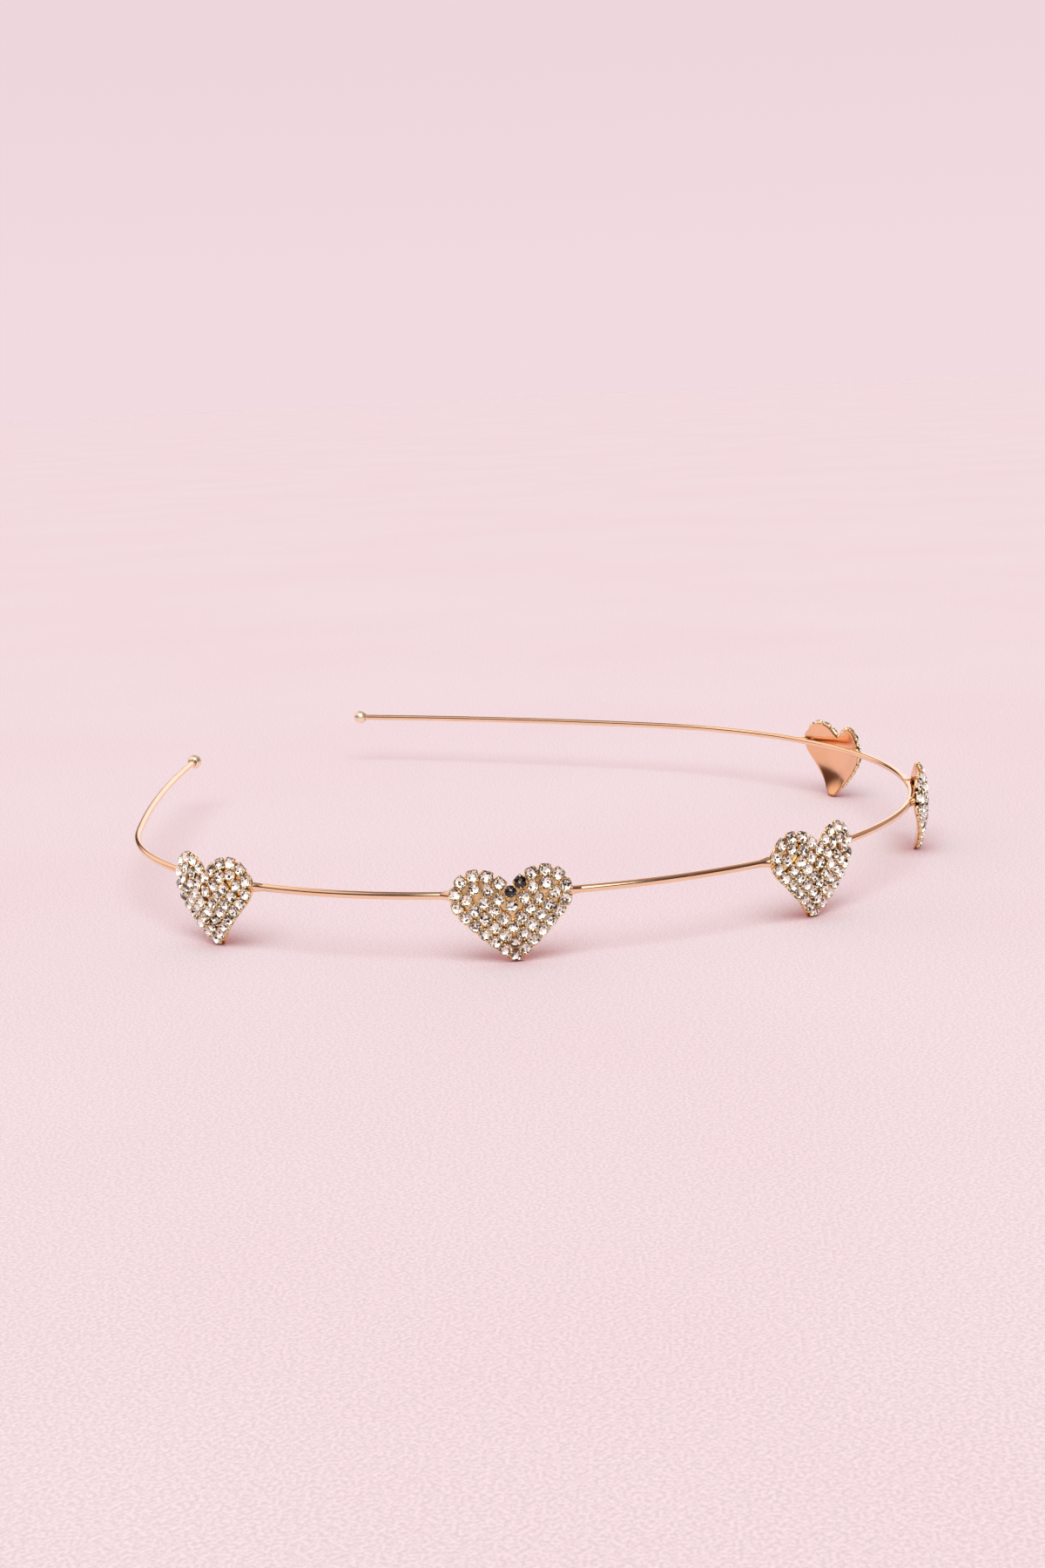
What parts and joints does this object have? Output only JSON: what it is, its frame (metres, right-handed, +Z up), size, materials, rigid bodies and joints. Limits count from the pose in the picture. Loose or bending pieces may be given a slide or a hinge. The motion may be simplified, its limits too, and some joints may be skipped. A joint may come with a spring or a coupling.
{
  "type": "rhinestone heart headband",
  "caption": "Open circlet headband of thin springy gilt wire with stone-set hearts spaced along its outside and a small ball on each end; it stands level on the heart tips.",
  "frame": {"origin": "middle of the object's outline seen from above, on the level that the heart tips stand on", "axes": "+Z up, square to the plane of the wire; -Y to the front, where the middle heart is; +Y to the open ends; +X to the wearer's left"},
  "size_m": [0.1564, 0.1836, 0.0155],
  "materials": {
    "gilt_metal": "polished light gold plating with a rose tint",
    "cut_stones": "clear foiled cut stones in gilt cups"
  },
  "bodies": {
    "root": {"band_frame": "gilt_metal", "heart_1_stones": "cut_stones", "heart_2_stones": "cut_stones", "heart_3_stones": "cut_stones", "heart_4_stones": "cut_stones", "heart_5_stones": "cut_stones", "tip_ball_left": "gilt_metal", "tip_ball_right": "gilt_metal"}
  },
  "joints": []
}
